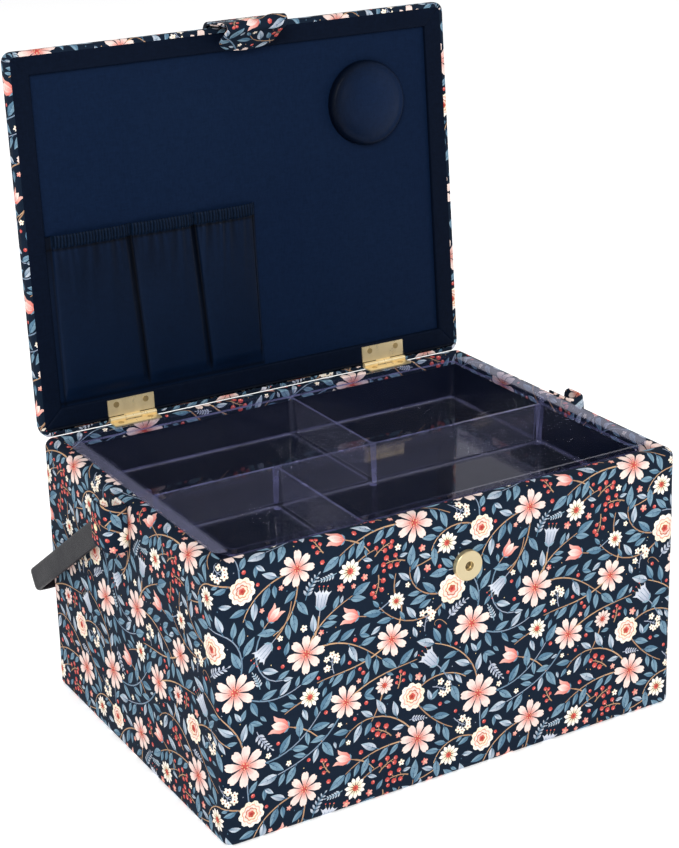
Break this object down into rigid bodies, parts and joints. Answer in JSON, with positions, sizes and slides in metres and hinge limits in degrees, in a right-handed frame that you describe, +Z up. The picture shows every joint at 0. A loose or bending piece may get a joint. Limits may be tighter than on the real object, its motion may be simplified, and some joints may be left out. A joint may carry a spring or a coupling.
{
  "type": "sewing box",
  "caption": "Rectangular fabric-covered sewing box with hinged padded lid, pocket and pincushion inside, lift-out divided tray, bail handle and snap tab.",
  "frame": {"origin": "centre of the box's underside, on the surface it stands on", "axes": "+X to the right seen from the front, +Y to the back (hinge side), +Z up; lid open at rest"},
  "size_m": [0.352, 0.2723, 0.4234],
  "materials": {
    "board": "raw fibreboard, hidden under fabric",
    "printed_fabric": null,
    "satin": "navy satin, soft sheen",
    "elastic": "navy ribbed elastic",
    "wadding": "thin polyester wadding, hidden",
    "base_cloth": "plain dark non-woven cloth",
    "brass": "brass plated, bright",
    "steel": "plain",
    "clear_plastic": "clear moulded plastic, faint violet tint",
    "leatherette": "dark grey leatherette, fine grain",
    "core_plastic": "hidden stiffener"
  },
  "bodies": {
    "box": {"base_board": "board", "front_board": "board", "back_board": "board", "left_board": "board", "right_board": "board", "outer_cover": "printed_fabric", "base_cover": "base_cloth", "floor_lining": "satin", "front_lining": "satin", "back_lining": "satin", "left_lining": "satin", "right_lining": "satin", "snap_socket": "brass", "snap_socket_washer": "steel", "hinge_left_body_leaf": "brass", "hinge_right_body_leaf": "brass", "hinge_pins": "brass", "hinge_body_screws": "brass", "handle_loop_left": "printed_fabric", "handle_loop_right": "printed_fabric", "handle_rivets": "brass", "handle_rivet_washers": "steel"},
    "lid": {"lid_board": "board", "lid_wadding": "wadding", "lid_front_rail": "board", "lid_back_rail": "board", "lid_left_rail": "board", "lid_right_rail": "board", "lid_cover": "printed_fabric", "lid_border_lining": "satin", "lid_lining_panel": "satin", "pocket_panel": "satin", "pocket_elastic": "elastic", "pincushion": "satin", "hinge_left_lid_leaf": "brass", "hinge_right_lid_leaf": "brass", "hinge_lid_screws": "brass", "tab_root": "printed_fabric"},
    "tab": {"tab_flap": "printed_fabric", "snap_stud": "brass", "snap_stud_washer": "steel"},
    "tray": {"tray": "clear_plastic"},
    "handle": {"handle_core": "core_plastic", "handle_cover": "leatherette"}
  },
  "joints": [
    {"name": "lid_hinge", "type": "hinge", "parent": "box", "child": "lid", "pos_m": [0, 0.118, 0.175], "axis": [1, 0, 0], "range_deg": [0, 93.9]},
    {"name": "tab_fold", "type": "hinge", "parent": "lid", "child": "tab", "pos_m": [0.0035, 0.11079, 0.42206], "axis": [0.9976, 0.0696, -0.0047], "range_deg": [-140, 0]},
    {"name": "handle_swing", "type": "hinge", "parent": "box", "child": "handle", "pos_m": [0, 0.004, 0.1565], "axis": [1, 0, 0], "range_deg": [0, 124.4]},
    {"name": "tray_lift", "type": "slide", "parent": "box", "child": "tray", "axis": [0, 0, 1], "range_m": [0, 0.18]}
  ],
  "couplings": [
    {"joint": "tab_fold", "follows": "lid_hinge", "ratio": -1.4909},
    {"joint": "handle_swing", "follows": "lid_hinge", "ratio": 1.3237}
  ]
}
